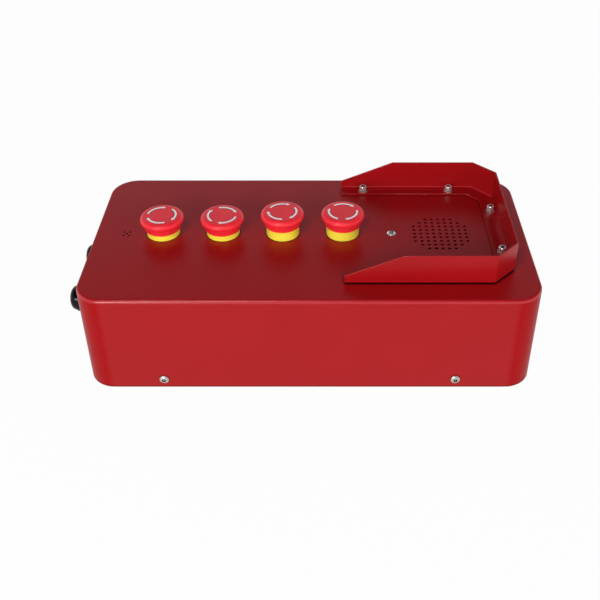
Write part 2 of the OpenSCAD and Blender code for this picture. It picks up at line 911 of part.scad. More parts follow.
module stop_bushing(i) {
    color(black_plastic)
        at_stop(i)
            difference() {
                union() {
                    translate([0, 0, -bush_l])
                        cylinder(r = bush_r, h = bush_l + flange_top_z);
                    translate([0, 0, stop_gasket_t])
                        cylinder(r = flange_r, h = bush_flange_t);
                    translate([0, 0, stop_gasket_t])
                        cylinder(r = neck_r, h = collar_h - stop_gasket_t);
                }
                translate([0, 0, chamber_floor_z])
                    cylinder(r = chamber_r, h = lip_z - chamber_floor_z);
                translate([0, 0, lip_z - cut])
                    cylinder(r = stem_d / 2 + moving_gap, h = bush_lip_t + 2 * cut);
                translate([0, 0, -bush_l - cut])
                    cylinder(r = rod_d / 2 + bearing_gap, h = bush_floor_t + 2 * cut);
            }
}

module stop_plunger(i) {
    color(plunger_grey)
        at_stop(i, stop_drop(i)) {
            translate([0, 0, rod_end_z])
                cylinder(d = rod_d, h = piston_under_z - rod_end_z);
            translate([0, 0, piston_under_z])
                cylinder(r = chamber_r - wide_gap, h = piston_t);
            translate([0, 0, piston_top_z])
                cylinder(d = stem_d, h = stem_top_z - piston_top_z);
            translate([0, 0, stem_top_z])
                cylinder(d = spigot_d, h = spigot_top_z - stem_top_z);
        }
}

module stop_spring(i) {
    color(bright_steel)
        at_stop(i)
            tube(spring_line(chamber_floor_z, spring_top_z(i)), spring_wire_d / 2, spring_sides, [0, 0, 1]);
}

// Contact block with a socket for the bushing, the plunger's bore and pockets for its terminals
module stop_contact(i) {
    color(black_plastic)
        at_stop(i)
            difference() {
                translate([-block_l / 2, -block_w / 2, block_bottom_z])
                    cube([block_l, block_w, block_h]);
                translate([0, 0, -bush_l])
                    cylinder(r = bush_r + seat_gap, h = block_socket + cut);
                translate([0, 0, block_bore_z])
                    cylinder(r = rod_d / 2 + wide_gap, h = -bush_l - block_bore_z + cut);
                at_terminals() {
                    translate([-pocket_w / 2, -pocket_d / 2, -pocket_h - cut])
                        cube([pocket_w, pocket_d + cut, pocket_h + cut]);
                    cylinder(r = terminal_d / 2 + thread_gap, h = terminal_shank + cut);
                }
            }
}

module stop_gaskets() {
    color(rubber_black)
        for (i = STOPS)
            at_stop(i)
                ring_solid(flange_r, bush_r + moving_gap, stop_gasket_t);
}

module stop_locknuts() {
    color(black_plastic)
        for (i = STOPS)
            at_stop(i, sheet_t + stop_nut_t)
                hex_ring(stop_thread_d + stop_nut_rim, bush_r + thread_gap, stop_nut_t);
}

module contact_screws() {
    color(bright_steel)
        for (i = STOPS)
            at_stop(i)
                at_terminals()
                    terminal_screw();
}

// Slotted terminal screw that hangs from the origin
module terminal_screw() {
    cylinder(d = terminal_d, h = terminal_shank);
    difference() {
        translate([0, 0, -terminal_head_t])
            cylinder(d = 2 * terminal_d, h = terminal_head_t);
        translate([-terminal_d - cut, -slot_w / 2, -terminal_head_t - cut])
            cube([2 * (terminal_d + cut), slot_w, slot_depth + cut]);
    }
}

module speaker_gasket() {
    color(rubber_black)
        at_speaker()
            translate([0, 0, rim_z0])
                ring_solid(speaker_r, cone_bore_r, speaker_gasket_t);
}

// Pressed frame with a rim, a windowed basket and a seat for the magnet
module speaker_frame() {
    color(zinc_grey)
        at_speaker()
            difference() {
                rotate_extrude()
                    polygon([
                        [cone_bore_r, rim_z0],
                        [speaker_r, rim_z0],
                        [speaker_r, rim_z0 - frame_t],
                        [cone_bore_r + frame_t, rim_z0 - frame_t],
                        [cone_bore_r + frame_t, basket_z],
                        [magnet_d / 2 + frame_t / 2, basket_end_z],
                        [magnet_d / 2 + frame_t / 2, magnet_z],
                        [coil_r + coil_clear, magnet_z],
                        [coil_r + coil_clear, basket_end_z],
                        [magnet_d / 2 - frame_t / 2, basket_end_z],
                        [cone_bore_r, basket_z]
                    ]);
                for (k = [0:basket_windows - 1])
                    rotate(360 * (k + 0.5) / basket_windows - window_angle / 2)
                        rotate_extrude(angle = window_angle)
                            translate([magnet_d / 2 - frame_t, basket_end_z + window_rim])
                                square([speaker_r - magnet_d / 2, basket_z - basket_end_z - 2 * window_rim]);
            }
}

// Paper cone with a rolled surround, a dust cap and the voice coil's tube
module speaker_cone() {
    color(cone_grey)
        at_speaker() {
            rotate_extrude()
                surround_section();
            translate([0, 0, surround_z - cone_t])
                ring_solid(cone_r, surround_x + surround_r - cone_t, cone_t);
            rotate_extrude()
                cone_section();
            dust_cap();
        }
}

module surround_section() {
    translate([surround_x, surround_z])
        difference() {
            circle(surround_r);
            circle(surround_r - cone_t);
            translate([-2 * surround_r, -2 * surround_r])
                square([4 * surround_r, 2 * surround_r]);
        }
}

module cone_section() {
    polygon([
        [surround_x - surround_r, surround_z],
        [surround_x - surround_r + cone_t, surround_z],
        [surround_x - surround_r + cone_t, surround_z - cone_t],
        [coil_r, cone_low_z],
        [coil_r, coil_end_z],
        [coil_r - cone_t, coil_end_z],
        [coil_r - cone_t, cone_low_z + cone_t]
    ]);
}

module dust_cap() {
    intersection() {
        translate([0, 0, cap_sphere_z])
            difference() {
                sphere(cap_sphere_r);
                sphere(cap_sphere_r - cone_t);
            }
        translate([0, 0, cone_low_z - cone_t])
            cylinder(r = coil_r, h = cap_sphere_r);
    }
}

// Ring magnet with a pole in its middle and the coil's gap between them
module speaker_magnet() {
    color(magnet_grey)
        at_speaker()
            difference() {
                translate([0, 0, magnet_end_z])
                    cylinder(d = magnet_d, h = magnet_t);
                translate([0, 0, coil_end_z - 2 * cone_travel - cut])
                    ring_solid(coil_r + coil_clear, coil_r - cone_t - coil_clear, magnet_t);
            }
}

module speaker_strap() {
    color(zinc_grey)
        at_speaker()
            translate([0, 0, strap_top_z - strap_t])
                difference() {
                    linear_extrude(strap_t) {
                        square([2 * strap_reach, strap_w], center = true);
                        at_strap_ends()
                            circle(d = strap_w);
                    }
                    at_strap_ends()
                        screw_hole(strap_t);
                }
}

module strap_spacers() {
    color(bright_steel)
        at_speaker()
            at_strap_ends()
                translate([0, 0, strap_top_z])
                    ring_solid(spacer_d / 2, (screw_d + screw_hole_clear) / 2, -strap_top_z);
}

module strap_screw() {
    color(bright_steel)
        at_speaker()
            translate([-strap_reach, 0, sheet_t])
                pin_screw(strap_screw_shank);
}

module strap_nuts() {
    color(zinc_grey)
        at_speaker()
            at_strap_ends()
                translate([0, 0, strap_nut_z])
                    case_nut();
}

module mic_boot() {
    color(rubber_black)
        at_mic()
            difference() {
                translate([0, 0, -mic_boot_h])
                    cylinder(r = mic_boot_r, h = mic_boot_h);
                translate([0, 0, -mic_boot_h - cut])
                    cylinder(r = mic_d / 2 + seat_gap, h = mic_boot_h - mic_lip_t + cut);
                translate([0, 0, -mic_boot_h])
                    cylinder(r = mic_port_r, h = mic_boot_h + cut);
            }
}

module mic_capsule() {
    color(bright_steel)
        at_mic()
            translate([0, 0, -mic_lip_t - seat_gap - mic_h])
                cylinder(d = mic_d, h = mic_h);
}

// Gland body: the thread through the case, a hexagon and the seal's mouth
module gland_body(i) {
    color(black_plastic)
        at_gland(i)
            difference() {
                union() {
                    translate([0, 0, -sheet_t - gland_in_l])
                        cylinder(r = gland_r, h = sheet_t + gland_in_l + gland_washer_t);
                    translate([0, 0, gland_washer_t])
                        gland_hexagon(gland_hex_t);
                    translate([0, 0, gland_washer_t])
                        cylinder(r = gland_spigot_r, h = gland_hex_t + gland_spigot_l);
                }
                translate([0, 0, -sheet_t - gland_in_l - cut])
                    cylinder(r = gland_bore_r, h = gland_end_z + sheet_t + gland_in_l);
                translate([0, 0, seal_z - moving_gap])
                    cylinder(r = gland_mouth_r, h = gland_end_z);
            }
}

// Dome nut: a hexagon below a rounded dome that presses on the seal
module gland_nut(i) {
    color(black_plastic)
        at_gland(i)
            difference() {
                translate([0, 0, gland_nut_z]) {
                    gland_hexagon(gland_hex_l);
                    rotate_extrude()
                        dome_section();
                }
                translate([0, 0, gland_nut_z - cut])
                    cylinder(r = gland_spigot_r + fit_gap, h = gland_lip_z - gland_nut_z + cut);
                cylinder(r = gland_bore_r, h = gland_end_z + cut);
            }
}

// Hexagon of a gland with its corners rounded off
module gland_hexagon(h) {
    intersection() {
        hex_solid(gland_af, h);
        cylinder(r = gland_af / 2 + gland_corner, h = h);
    }
}

module dome_section() {
    square([gland_dome_r, gland_nut_l - gland_dome_round]);
    square([gland_dome_r - gland_dome_round, gland_nut_l]);
    intersection() {
        square([gland_dome_r, gland_nut_l]);
        translate([gland_dome_r - gland_dome_round, gland_nut_l - gland_dome_round])
            circle(gland_dome_round);
    }
}

module gland_seals() {
    color(rubber_black)
        for (i = GLANDS)
            at_gland(i)
                translate([0, 0, seal_z])
                    ring_solid(seal_r, cable_d / 2, seal_l);
}

module gland_washers() {
    color(rubber_black)
        for (i = GLANDS)
            at_gland(i)
                ring_solid(gland_af / 2, gland_r + fit_gap, gland_washer_t);
}

module gland_locknuts() {
    color(black_plastic)
        for (i = GLANDS)
            at_gland(i)
                translate([0, 0, -sheet_t - gland_locknut_t])
                    hex_ring(gland_af + gland_locknut_rim, gland_r + thread_gap, gland_locknut_t);
}

module main_board() {
    color(board_green)
        difference() {
            translate([board_x - board_l / 2, -board_w / 2, board_z])
                cube([board_l, board_w, board_t]);
            at_board_screws(board_z - cut)
                cylinder(d = board_screw_d + screw_hole_clear, h = board_t + 2 * cut);
        }
}

module board_standoffs() {
    color(bright_steel)
        at_board_screws(base_t)
            hex_ring(standoff_af, board_screw_d / 2 + thread_gap, standoff_h);
}

module board_screws() {
    color(bright_steel)
        at_board_screws(board_top_z) {
            cylinder(d = board_screw_head_d, h = board_screw_head_h);
            translate([0, 0, -board_screw_shank])
                cylinder(d = board_screw_d, h = board_screw_shank);
        }
}

module terminal_strip() {
    color(strip_green)
        translate([board_x, strip_y, board_top_z])
            difference() {
                translate([-strip_l / 2, -strip_w / 2, 0])
                    cube([strip_l, strip_w, strip_h]);
                for (k = [0:strip_poles - 1])
                    translate([(k + 0.5) * pole_pitch - strip_l / 2, 0, strip_h - pole_hole_depth])
                        cylinder(r = pole_hole_r, h = pole_hole_depth + cut);
            }
}

module board_capacitors() {
    color(cap_blue)
        for (k = CAPS)
            translate([board_x + k * cap_pitch, cap_y, board_top_z])
                cylinder(d = cap_d, h = cap_h);
}

// Lead that starts at one piece and ends at another
module lead(from, to, start_steps, end_steps, d, side) {
    stops = concat(shifted(start_steps, from), shifted(end_steps, to));
    color(lead_grey)
        tube(smooth_line(stops), d / 2, lead_sides, side);
}

module stop_leads() {
    for (i = STOPS)
        lead(
            [stop_x(i), stop_y, deck_z + block_bottom_z - lead_gap],
            [stop_x(i), strip_y + strip_w / 2 + lead_gap, lead_z],
            stop_lead_start,
            stop_lead_end,
            stop_lead_d,
            [1, 0, 0]
        );
}

module speaker_lead() {
    lead(
        [speaker_x, speaker_y, under_z]
            + [-1, -1, 0] * (speaker_r - speaker_rim / 4) / sqrt(2)
            + [0, 0, rim_z0 - frame_t - lead_gap],
        [strip_end_x[1] + lead_gap, strip_y, lead_z],
        speaker_lead_start,
        speaker_lead_end,
        signal_lead_d,
        [0, 1, 0]
    );
}

module mic_lead() {
    lead(
        [mic_x, sound_y, under_z - mic_lip_t - seat_gap - mic_h - lead_gap],
        [strip_end_x[0] - lead_gap, strip_y, lead_z],
        mic_lead_start,
        mic_lead_end,
        signal_lead_d,
        [0, 1, 0]
    );
}

echo(least_spring_gap = min([for (i = STOPS) spring_gap(spring_line(chamber_floor_z, spring_top_z(i)))]));

cover_shell();
base_plate();
cover_screws();
base_nuts();
speaker_hood();
hood_screws();
hood_nuts();
for (i = STOPS) {
    stop_head(i);
    stop_collar(i);
    stop_bushing(i);
    stop_plunger(i);
    stop_spring(i);
    stop_contact(i);
}
stop_gaskets();
stop_locknuts();
contact_screws();
speaker_gasket();
speaker_frame();
speaker_cone();
speaker_magnet();
speaker_strap();
strap_spacers();
strap_screw();
strap_nuts();
mic_boot();
mic_capsule();
for (i = GLANDS) {
    gland_body(i);
    gland_nut(i);
}
gland_seals();
gland_washers();
gland_locknuts();
main_board();
board_standoffs();
board_screws();
terminal_strip();
board_capacitors();
stop_leads();
speaker_lead();
mic_lead();
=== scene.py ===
# %% [markdown]
# # A red call and stop station
# The station is a folded steel case that is screwed to a wall or a machine. Stop buttons that twist
# to release stand in a row on its deck, and a folded hood shelters a loudspeaker at one end.
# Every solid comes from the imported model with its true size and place, so this lesson is about what
# Blender adds to it: a camera, soft light, finishes made of nodes, and the few pieces that a solid
# model leaves plain.

import math

import bmesh
import bpy
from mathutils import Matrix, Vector


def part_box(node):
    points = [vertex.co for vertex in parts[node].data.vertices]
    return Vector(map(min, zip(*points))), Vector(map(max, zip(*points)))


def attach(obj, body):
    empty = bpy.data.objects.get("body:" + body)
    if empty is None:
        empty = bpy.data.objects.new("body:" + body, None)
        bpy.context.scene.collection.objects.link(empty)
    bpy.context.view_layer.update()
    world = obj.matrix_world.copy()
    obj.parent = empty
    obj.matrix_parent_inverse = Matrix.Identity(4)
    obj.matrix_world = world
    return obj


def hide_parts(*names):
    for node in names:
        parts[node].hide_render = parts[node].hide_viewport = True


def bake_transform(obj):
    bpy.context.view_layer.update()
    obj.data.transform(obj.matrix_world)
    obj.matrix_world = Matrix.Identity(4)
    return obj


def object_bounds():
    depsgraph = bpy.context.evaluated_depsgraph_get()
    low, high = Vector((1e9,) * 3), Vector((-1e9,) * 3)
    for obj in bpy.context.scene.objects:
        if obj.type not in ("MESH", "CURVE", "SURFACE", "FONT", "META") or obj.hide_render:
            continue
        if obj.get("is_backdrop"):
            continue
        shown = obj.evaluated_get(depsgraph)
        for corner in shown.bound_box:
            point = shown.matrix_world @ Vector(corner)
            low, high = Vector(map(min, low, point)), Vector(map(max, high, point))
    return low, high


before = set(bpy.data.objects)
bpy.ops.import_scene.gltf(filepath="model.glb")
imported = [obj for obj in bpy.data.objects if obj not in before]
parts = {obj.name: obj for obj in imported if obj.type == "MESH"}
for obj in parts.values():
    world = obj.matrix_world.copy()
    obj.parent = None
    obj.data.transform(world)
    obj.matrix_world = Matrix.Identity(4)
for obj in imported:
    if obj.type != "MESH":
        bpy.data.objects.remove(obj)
cad_low, cad_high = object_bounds()

# %% [markdown]
# ## The camera
# The photograph looks down on the deck from the front, a little to the right of the middle. A camera
# can be placed by eye and nudged until the edges agree. Here the edges and corners of the case gave
# its place directly: a lens of 52 mm, tilted down by 35 degrees, with a small shift because the
# station doesn't sit in the middle of the picture.

# %% Camera
CAMERA_TILT = 35.15
camera_data = bpy.data.cameras.new("station_camera")
camera_data.sensor_width = 36.0
camera_data.lens = 52.2
camera_data.shift_x = -0.0405
camera_data.shift_y = -0.0847
camera_data.clip_start = 0.01
camera = bpy.data.objects.new("station_camera", camera_data)
camera.location = (0.013, -0.669, 0.552)
camera.rotation_euler = (math.radians(90 - CAMERA_TILT), 0, 0)
bpy.context.scene.collection.objects.link(camera)
bpy.context.scene.camera = camera
print("camera at", camera.location[:], "lens", camera_data.lens)

# %% [markdown]
# ## Floor and background
# A studio sweep of white paper is what such a station is photographed on. It could be a curved sheet,
# but the camera looks down so far that a flat floor fills the picture. The paper is bright enough to
# turn white, which also lights the sides of the case from below, so a share of it glows. Rays from the
# camera, and rays that a glossy or clear surface sends out, see nearly all of that glow. Other rays see
# more of the plain paper, which takes the light and keeps the shadow.

# %% What the eye sees
def white_to_the_eye(tree):
    """A factor that is one for rays from the camera and from shiny or clear surfaces."""
    path = tree.nodes.new("ShaderNodeLightPath")
    first = tree.nodes.new("ShaderNodeMath")
    first.operation = "MAXIMUM"
    tree.links.new(path.outputs["Is Camera Ray"], first.inputs[0])
    tree.links.new(path.outputs["Is Glossy Ray"], first.inputs[1])
    second = tree.nodes.new("ShaderNodeMath")
    second.operation = "MAXIMUM"
    tree.links.new(first.outputs[0], second.inputs[0])
    tree.links.new(path.outputs["Is Transmission Ray"], second.inputs[1])
    return second.outputs[0]


print("eye helper ready")

# %% Floor
FLOOR_HALF, FLOOR_DROP = 8.0, 0.0005
GLOW_PLAIN, GLOW_SEEN = 0.44, 0.965


def paper_floor(half):
    """A square sheet of paper that glows in part, and more to the eye than to other rays."""
    mesh = bpy.data.meshes.new("paper_floor")
    corners = [(-half, -half, 0), (half, -half, 0), (half, half, 0), (-half, half, 0)]
    mesh.from_pydata(corners, [], [(0, 1, 2, 3)])
    floor = bpy.data.objects.new("paper_floor", mesh)
    bpy.context.scene.collection.objects.link(floor)
    material = bpy.data.materials.new("white_paper")
    material.use_nodes = True
    tree = material.node_tree
    paper = tree.nodes["Principled BSDF"]
    paper.inputs["Base Color"].default_value = (0.86, 0.86, 0.86, 1)
    paper.inputs["Roughness"].default_value = 0.9
    paper.inputs["Specular IOR Level"].default_value = 0.1
    glow = tree.nodes.new("ShaderNodeEmission")
    glow.inputs["Color"].default_value = (1, 1, 1, 1)
    glow.inputs["Strength"].default_value = 1.0
    share = tree.nodes.new("ShaderNodeMapRange")
    share.inputs["To Min"].default_value = GLOW_PLAIN
    share.inputs["To Max"].default_value = GLOW_SEEN
    tree.links.new(white_to_the_eye(tree), share.inputs["Value"])
    mix = tree.nodes.new("ShaderNodeMixShader")
    tree.links.new(share.outputs[0], mix.inputs["Fac"])
    tree.links.new(paper.outputs["BSDF"], mix.inputs[1])
    tree.links.new(glow.outputs["Emission"], mix.inputs[2])
    tree.links.new(mix.outputs["Shader"], tree.nodes["Material Output"].inputs["Surface"])
    mesh.materials.append(material)
    floor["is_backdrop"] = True
    return floor


floor = paper_floor(FLOOR_HALF)
floor.location.z = cad_low.z - FLOOR_DROP
print("floor", floor.dimensions[:])

# %% [markdown]
# ## The light
# The photograph looks as if it was taken in a white tent: the upright sides are brighter than the deck,
# and the shadows are soft. A tent could be built from sheets of cloth, but a world that is white near
# the horizon and dark overhead does the same with one colour ramp. Next to the horizon it is plain white
# to the eye, so that it meets the paper without a line. A low panel on the left makes the long light
# line on the upper bend, which fades towards the right, so the wider panel on the right only fills and
# isn't mirrored. A small panel higher up lights the heads and screws.

# %% World
TENT_WHITE, TENT_DARK = (0.78, 0.81, 0.90, 1), (0.078, 0.080, 0.088, 1)
FADE_FROM, FADE_TO = 0.45, 0.68
world = bpy.data.worlds.new("studio")
bpy.context.scene.world = world
world.use_nodes = True
tree = world.node_tree
where = tree.nodes.new("ShaderNodeTexCoord")
axes = tree.nodes.new("ShaderNodeSeparateXYZ")
tree.links.new(where.outputs["Generated"], axes.inputs[0])
fade = tree.nodes.new("ShaderNodeValToRGB")
fade.color_ramp.elements[0].position = FADE_FROM
fade.color_ramp.elements[0].color = TENT_WHITE
fade.color_ramp.elements[1].position = FADE_TO
fade.color_ramp.elements[1].color = TENT_DARK
tree.links.new(axes.outputs["Z"], fade.inputs["Fac"])
print("tent fades from", FADE_FROM, "to", FADE_TO)

# %% White horizon
BAND_HIGH, BAND_LOW = 0.25, 0.15
# Places of a mix node's two inputs and its result, for colours and for numbers.
COLOUR_PLACES = (6, 7, 2)
NUMBER_PLACES = (2, 3, 0)
plain, white, mixed = COLOUR_PLACES
band = tree.nodes.new("ShaderNodeMapRange")
band.inputs["From Min"].default_value = BAND_HIGH
band.inputs["From Max"].default_value = BAND_LOW
tree.links.new(axes.outputs["Z"], band.inputs["Value"])
seen_band = tree.nodes.new("ShaderNodeMath")
seen_band.operation = "MULTIPLY"
tree.links.new(band.outputs["Result"], seen_band.inputs[0])
tree.links.new(white_to_the_eye(tree), seen_band.inputs[1])
seam = tree.nodes.new("ShaderNodeMix")
seam.data_type = "RGBA"
seam.inputs[white].default_value = (1, 1, 1, 1)
tree.links.new(seen_band.outputs[0], seam.inputs[0])
tree.links.new(fade.outputs["Color"], seam.inputs[plain])
tent = tree.nodes["Background"]
tent.inputs["Strength"].default_value = 1.0
tree.links.new(seam.outputs[mixed], tent.inputs["Color"])
bpy.context.scene.view_settings.view_transform = "Standard"
print("tent light", tent.inputs["Strength"].default_value)

# %% Lamps
LAMP_AIM = Vector((0, 0, 0.07))


def soft_panel(name, azimuth, elevation, distance, width, height, power):
    """A flat lamp that looks at the station; azimuth 0 is straight in front, positive to the right."""
    data = bpy.data.lights.new(name, "AREA")
    data.shape = "RECTANGLE"
    data.size = width
    data.size_y = height
    data.energy = power
    lamp = bpy.data.objects.new(name, data)
    a, e = math.radians(azimuth), math.radians(elevation)
    way = Vector((math.sin(a) * math.cos(e), -math.cos(a) * math.cos(e), math.sin(e)))
    lamp.location = LAMP_AIM + distance * way
    lamp.rotation_euler = way.to_track_quat("Z", "Y").to_euler()
    bpy.context.scene.collection.objects.link(lamp)
    print(name, "at", [round(v, 2) for v in lamp.location], power, "W")
    return lamp


soft_panel("left_panel", azimuth=-26, elevation=18, distance=1.8, width=0.6, height=0.5, power=11.9)
fill = soft_panel("right_panel", azimuth=28, elevation=18, distance=1.8, width=1.5, height=0.9, power=9.5)
fill.visible_glossy = False
soft_panel("upper_panel", azimuth=-22, elevation=58, distance=1.7, width=0.5, height=0.35, power=5.0)

# %% [markdown]
# ## Helpers for finishes
# Each finish starts from Blender's Principled shader and gets its life from a few noise nodes that are
# read in the piece's own space, in metres. One noise can tint the colour, another can vary the gloss,
# and a third can raise a fine relief. Small helpers keep each finish down to a few lines.

# %% Finish helpers
NOISE_LOW, NOISE_HIGH = 0.3, 0.7


def new_finish(name, colour, roughness, metallic=0.0, specular=0.5):
    material = bpy.data.materials.new(name)
    material.use_nodes = True
    shader = material.node_tree.nodes["Principled BSDF"]
    shader.inputs["Base Color"].default_value = (*colour, 1)
    shader.inputs["Roughness"].default_value = roughness
    shader.inputs["Metallic"].default_value = metallic
    shader.inputs["Specular IOR Level"].default_value = specular
    return material


def own_space(material, stretch=(1, 1, 1)):
    """The piece's own coordinates, in metres, stretched along an axis for drawn or turned marks."""
    tree = material.node_tree
    where = tree.nodes.new("ShaderNodeTexCoord")
    scaled = tree.nodes.new("ShaderNodeMapping")
    scaled.inputs["Scale"].default_value = stretch
    tree.links.new(where.outputs["Object"], scaled.inputs["Vector"])
    return scaled.outputs["Vector"]


def grain(material, per_metre, detail=3.0, stretch=(1, 1, 1)):
    """A noise with about that many lumps in a metre; gives its value socket."""
    tree = material.node_tree
    noise = tree.nodes.new("ShaderNodeTexNoise")
    noise.inputs["Scale"].default_value = per_metre
    noise.inputs["Detail"].default_value = detail
    tree.links.new(own_space(material, stretch), noise.inputs["Vector"])
    return noise.outputs["Fac"]


def tint(material, value, dark, light, low=0.35, high=0.65):
    """Colours the finish between two shades by a value."""
    tree = material.node_tree
    ramp = tree.nodes.new("ShaderNodeValToRGB")
    ramp.color_ramp.elements[0].position = low
    ramp.color_ramp.elements[0].color = (*dark, 1)
    ramp.color_ramp.elements[1].position = high
    ramp.color_ramp.elements[1].color = (*light, 1)
    tree.links.new(value, ramp.inputs["Fac"])
    tree.links.new(ramp.outputs["Color"], tree.nodes["Principled BSDF"].inputs["Base Color"])


def vary_gloss(material, value, smooth, rough):
    """Lets the roughness wander between two levels."""
    tree = material.node_tree
    span = tree.nodes.new("ShaderNodeMapRange")
    span.inputs["From Min"].default_value = NOISE_LOW
    span.inputs["From Max"].default_value = NOISE_HIGH
    span.inputs["To Min"].default_value = smooth
    span.inputs["To Max"].default_value = rough
    tree.links.new(value, span.inputs["Value"])
    tree.links.new(span.outputs["Result"], tree.nodes["Principled BSDF"].inputs["Roughness"])


def relief(material, value, depth):
    """Raises a fine relief of a given depth in metres."""
    tree = material.node_tree
    bump = tree.nodes.new("ShaderNodeBump")
    bump.inputs["Strength"].default_value = 1.0
    bump.inputs["Distance"].default_value = depth
    tree.links.new(value, bump.inputs["Height"])
    tree.links.new(bump.outputs["Normal"], tree.nodes["Principled BSDF"].inputs["Normal"])


print("finish helpers ready")

# %% [markdown]
# ## Shade in corners and holes
# Sockets, small holes and the places where two pieces meet lie in shade, and that shade is painted into
# the colour. It could be painted by hand, but a node that feels for nearby walls finds them all. It can
# look at a piece's own walls only, as for the socket of a screw, or at every piece, as for the line where
# the hood meets the deck.

# %% Shade
CLOSED, OPEN = 0.5, 0.9


def painted_recess_shade(material, reach, darkest=0.02, own=True):
    """Paints shade into the colour where walls, of its own piece or of any, are nearer than a reach in
    metres.
    """
    tree = material.node_tree
    plain, shade, mixed = COLOUR_PLACES
    target = tree.nodes["Principled BSDF"].inputs["Base Color"]
    near = tree.nodes.new("ShaderNodeAmbientOcclusion")
    near.samples = 8
    near.only_local = own
    near.inputs["Distance"].default_value = reach
    ramp = tree.nodes.new("ShaderNodeValToRGB")
    ramp.color_ramp.elements[0].position = CLOSED
    ramp.color_ramp.elements[0].color = (darkest, darkest, darkest, 1)
    ramp.color_ramp.elements[1].position = OPEN
    tree.links.new(near.outputs["AO"], ramp.inputs["Fac"])
    mix = tree.nodes.new("ShaderNodeMix")
    mix.data_type = "RGBA"
    mix.blend_type = "MULTIPLY"
    mix.inputs[0].default_value = 1.0
    tree.links.new(target.links[0].from_socket, mix.inputs[plain])
    tree.links.new(ramp.outputs["Color"], mix.inputs[shade])
    tree.links.new(mix.outputs[mixed], target)


print("shade helper ready")

# %% [markdown]
# ## Powder coat
# The case and the hood are sprayed with powder that melts into a satin skin. It could be one red with
# one gloss, but a real coat has the faint waves of orange peel and tiny changes of gloss. A noise with
# lumps of about a millimetre gives the waves and a larger one lets the red wander by a few percent.
# In the photograph the bends along the front shine more than the flats, and the ends and corners shine
# less. Powder that draws thin on a tight bend could do the first, and ground welds the second. Which way
# a surface faces tells them apart: a bend is neither level nor upright, and a corner turns towards an
# end of the case.
# The bends are also painted a lighter red, which is a painted highlight.

# %% Bends and corners
def facing(material, axis, stops):
    """A value read from how far the surface faces along one axis; stops are pairs of place and value."""
    tree = material.node_tree
    surface = tree.nodes.new("ShaderNodeNewGeometry")
    axes = tree.nodes.new("ShaderNodeSeparateXYZ")
    tree.links.new(surface.outputs["Normal"], axes.inputs[0])
    size = tree.nodes.new("ShaderNodeMath")
    size.operation = "ABSOLUTE"
    tree.links.new(axes.outputs[axis], size.inputs[0])
    ramp = tree.nodes.new("ShaderNodeValToRGB")
    elements = ramp.color_ramp.elements
    while len(elements) < len(stops):
        elements.new(0.5)
    for element, (place, value) in zip(elements, stops):
        element.position = place
        element.color = (value, value, value, 1)
    tree.links.new(size.outputs[0], ramp.inputs["Fac"])
    return ramp.outputs["Color"]


def bend_mask(material):
    """One on a bend along the front or the back, where the surface is neither upright nor level."""
    tree = material.node_tree
    both = tree.nodes.new("ShaderNodeMath")
    both.operation = "MULTIPLY"
    leaning = facing(material, "Z", [(0.04, 0), (0.22, 1), (0.85, 1), (0.97, 0)])
    tree.links.new(leaning, both.inputs[0])
    tree.links.new(facing(material, "Y", [(0.10, 0), (0.40, 1)]), both.inputs[1])
    return both.outputs[0]


def corner_mask(material):
    """One where the surface turns towards an end of the case, and zero on the flats."""
    return facing(material, "X", [(0.04, 0), (0.18, 1), (0.95, 1), (0.99, 0)])


def change_where(material, mask, socket, value):
    """Moves one input of the shader from what it has to another value where the mask is one."""
    tree = material.node_tree
    target = tree.nodes["Principled BSDF"].inputs[socket]
    mix = tree.nodes.new("ShaderNodeMix")
    mix.data_type = "RGBA" if target.type == "RGBA" else "FLOAT"
    plain, changed, mixed = COLOUR_PLACES if target.type == "RGBA" else NUMBER_PLACES
    if target.is_linked:
        tree.links.new(target.links[0].from_socket, mix.inputs[plain])
    else:
        mix.inputs[plain].default_value = target.default_value
    mix.inputs[changed].default_value = value
    tree.links.new(mask, mix.inputs[0])
    tree.links.new(mix.outputs[mixed], target)


print("bend and corner helpers ready")

# %% Powder coat
def sprayed(name, bend_shine, ground_corners):
    """Red powder coat with shiny bends painted lighter as a highlight, with or without dull ground
    corners.
    """
    material = new_finish(name, (0.335, 0.0040, 0.0056), 0.32, specular=0.19)
    tint(material, grain(material, 14), (0.327, 0.0038, 0.0050), (0.343, 0.0043, 0.0062))
    vary_gloss(material, grain(material, 260), 0.30, 0.38)
    relief(material, grain(material, 950, detail=1.0), 0.000012)
    if ground_corners:
        change_where(material, corner_mask(material), "Specular IOR Level", 0.05)
    bends = bend_mask(material)
    # Painted highlight: the bends get a lighter red.
    change_where(material, bends, "Base Color", (0.41, 0.008, 0.013, 1))
    change_where(material, bends, "Roughness", 0.24)
    change_where(material, bends, "Specular IOR Level", bend_shine)
    return material


powder_coat = sprayed("powder_coat", 0.36, False)
shell_coat = sprayed("shell_coat", 0.53, True)
# Painted shade: the shell's colour darkens near any piece, round the screws and along the foot of the
# hood.
painted_recess_shade(shell_coat, 0.003, darkest=0.06, own=False)
print("finishes", powder_coat.name, shell_coat.name)

# %% [markdown]
# ## Moulded plastics
# The mushroom heads and their collars are injection moulded in strong, even colours. The mould leaves a
# very fine skin texture, and light goes a little way into the plastic, which softens the shadows.
# The glands are black nylon, and the pieces inside are grey and black grades of the same family.

# %% Moulded plastics
def moulded(name, colour, smooth, rough, spread=0.06):
    """Plastic with a fine mould texture and a colour that wanders a little."""
    material = new_finish(name, colour, rough)
    darker = [c * (1 - spread) for c in colour]
    lighter = [min(1.0, c * (1 + spread)) for c in colour]
    tint(material, grain(material, 60), darker, lighter)
    vary_gloss(material, grain(material, 500), smooth, rough)
    relief(material, grain(material, 2600, detail=2.0), 0.000006)
    return material


